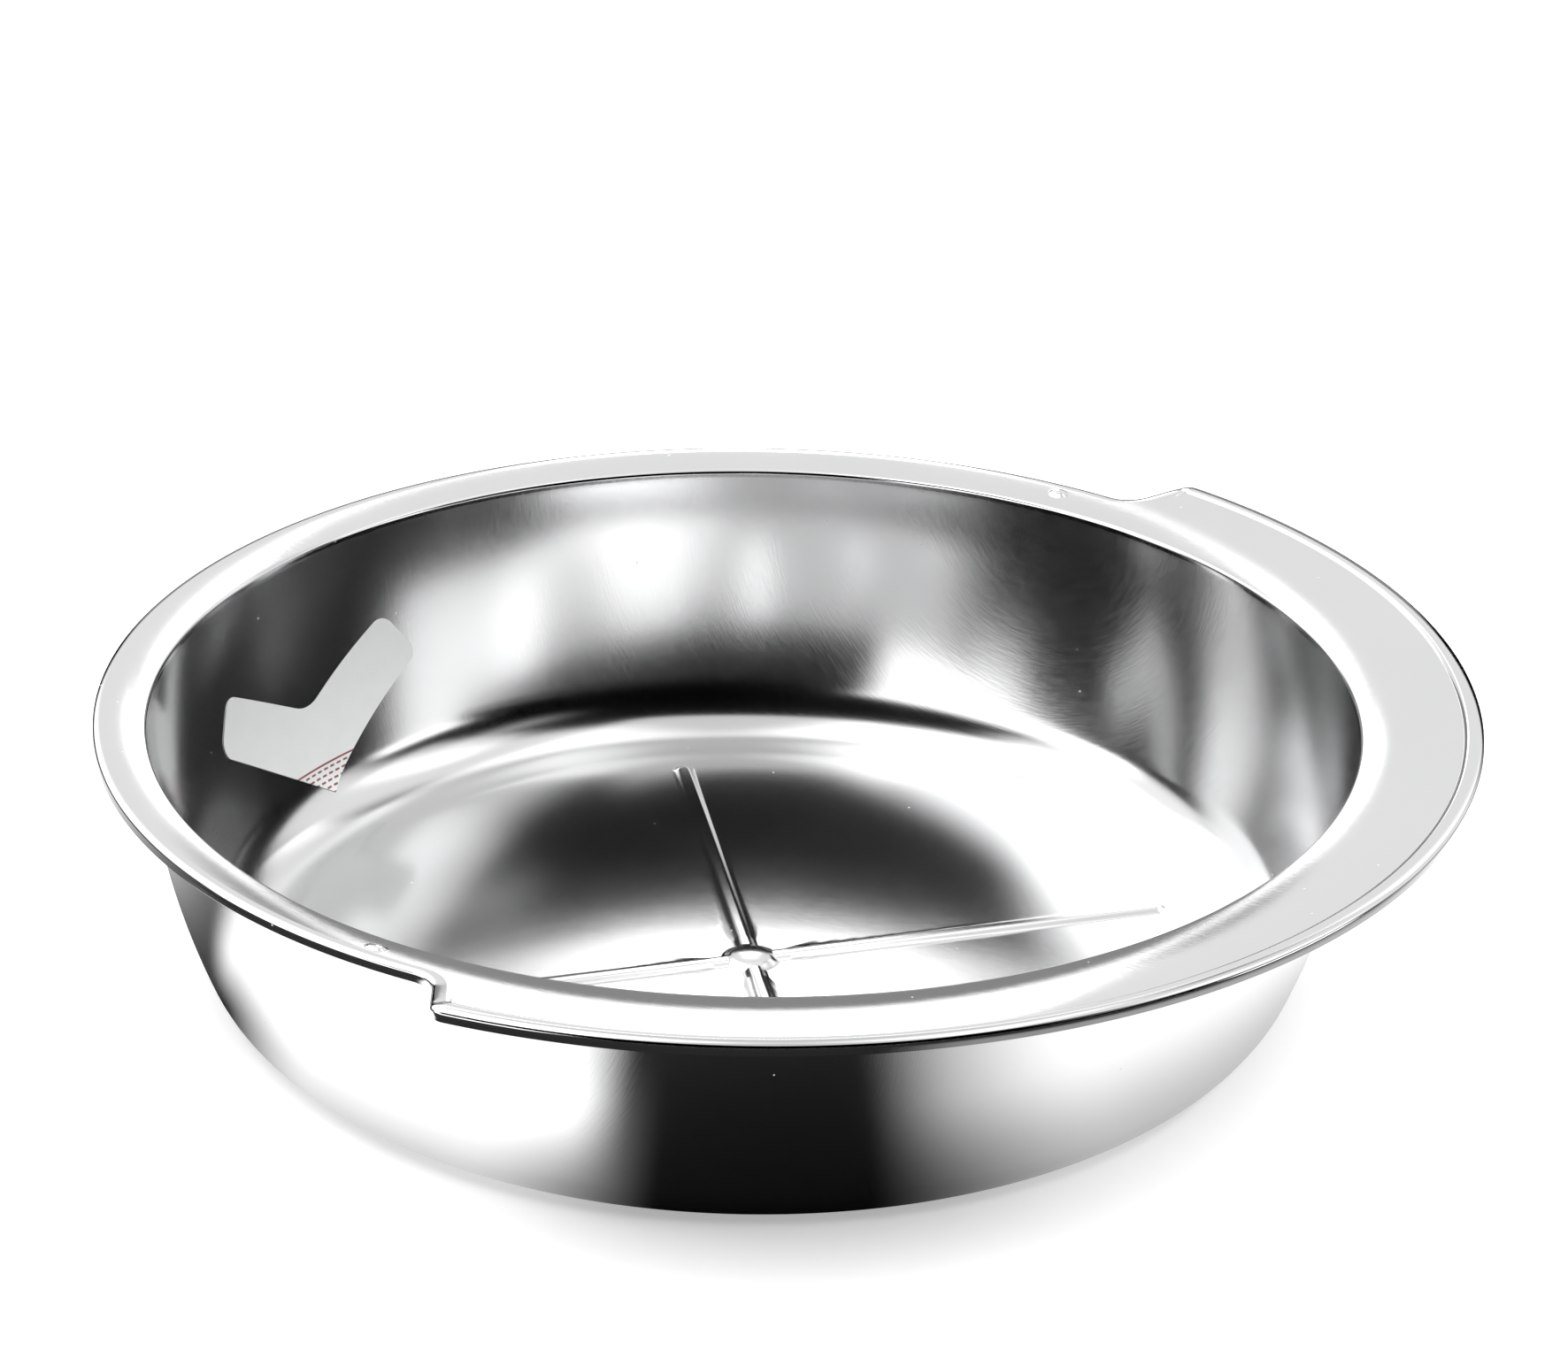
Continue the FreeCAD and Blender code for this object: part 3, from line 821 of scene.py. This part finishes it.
def add_floor_card(name, azimuth, half_angle, near, far, height):
    """A card low over the floor, part of a ring round the pan, that only the steel's reflections show."""
    turns = np.radians(np.linspace(-half_angle, half_angle, CARD_POINTS))
    plan = [(math.sin(turn), -math.cos(turn)) for turn in turns]
    points = [(radius * x, radius * y, 0) for radius in (near, far) for x, y in plan]
    faces = [(k, k + CARD_POINTS, k + CARD_POINTS + 1, k + 1) for k in range(CARD_POINTS - 1)]
    mesh = bpy.data.meshes.new(name)
    mesh.from_pydata(points, [], faces)
    material, tree, shader = new_material(name)
    mesh.materials.append(material)
    card = bpy.data.objects.new(name, mesh)
    bpy.context.scene.collection.objects.link(card)
    card.visible_camera = False
    card.visible_diffuse = False
    card.visible_shadow = False
    card.location.z = height
    card.rotation_euler.z = math.radians(CAMERA_AZIMUTH + azimuth)
    return tree, shader


def add_dark_card():
    """Black velvet on the floor all round the pan."""
    tree, shader = add_floor_card("dark_card", 0, 180, DARK_CARD_NEAR, DARK_CARD_FAR, DARK_CARD_HEIGHT)
    set_inputs(tree, shader, Base_Color=VELVET_COLOUR, Roughness=VELVET_ROUGHNESS)


def add_glow_card(name, azimuth, half_angle, near, far, soft_angle, soft_edge, radiance, height):
    """A bright card whose glow fades towards its edges."""
    outer_angle = half_angle + soft_angle / 2
    inner, outer = near - soft_edge / 2, far + soft_edge / 2
    tree, _ = add_floor_card(name, azimuth, outer_angle, inner, outer, height)
    place = add_node(tree, "ShaderNodeTexCoord").outputs["Object"]
    axes = add_node(tree, "ShaderNodeSeparateXYZ", Vector=place)
    ahead = calculate(tree, "MULTIPLY", axes.outputs["Y"], -1.0)
    turn = calculate(tree, "ABSOLUTE", calculate(tree, "ARCTAN2", axes.outputs["X"], ahead))
    length = add_node(tree, "ShaderNodeVectorMath")
    length.operation = "LENGTH"
    feed(tree, length.inputs[0], place)
    radius = length.outputs["Value"]
    from_end = calculate(tree, "SUBTRACT", math.radians(outer_angle), turn)
    from_inside = calculate(tree, "SUBTRACT", radius, inner)
    from_outside = calculate(tree, "SUBTRACT", outer, radius)
    share = soft_share(tree, from_end, math.radians(soft_angle))
    for distance in (from_inside, from_outside):
        share = calculate(tree, "MULTIPLY", share, soft_share(tree, distance, soft_edge))
    glow = add_node(tree, "ShaderNodeEmission", Strength=calculate(tree, "MULTIPLY", share, radiance))
    clear = add_node(tree, "ShaderNodeBsdfTransparent")
    both = tree.nodes.new("ShaderNodeAddShader")
    for socket, part in zip(both.inputs, (glow, clear)):
        feed(tree, socket, part.outputs[0])
    set_inputs(tree, tree.nodes["Material Output"], Surface=both.outputs[0])


def add_lights():
    """Panels and fills above the pan, and cards on the floor round it."""
    for panel in SOFT_PANELS:
        add_soft_panel(*panel)
    for fill in FILLS:
        add_fill(*fill)
    add_dark_card()
    for card in GLOW_CARDS:
        add_glow_card(*card)


scene = bpy.context.scene
scene.view_settings.view_transform = "Standard"
pan = add_object("steel_water_pan", pan_mesh(), "water_pan")
pan.data.materials.append(steel_material())
film = add_object("fill_level_film", sticker_mesh(), "fill_level_sticker")
film.data.materials.append(film_material())
add_camera()
add_floor()
add_background()
add_lights()
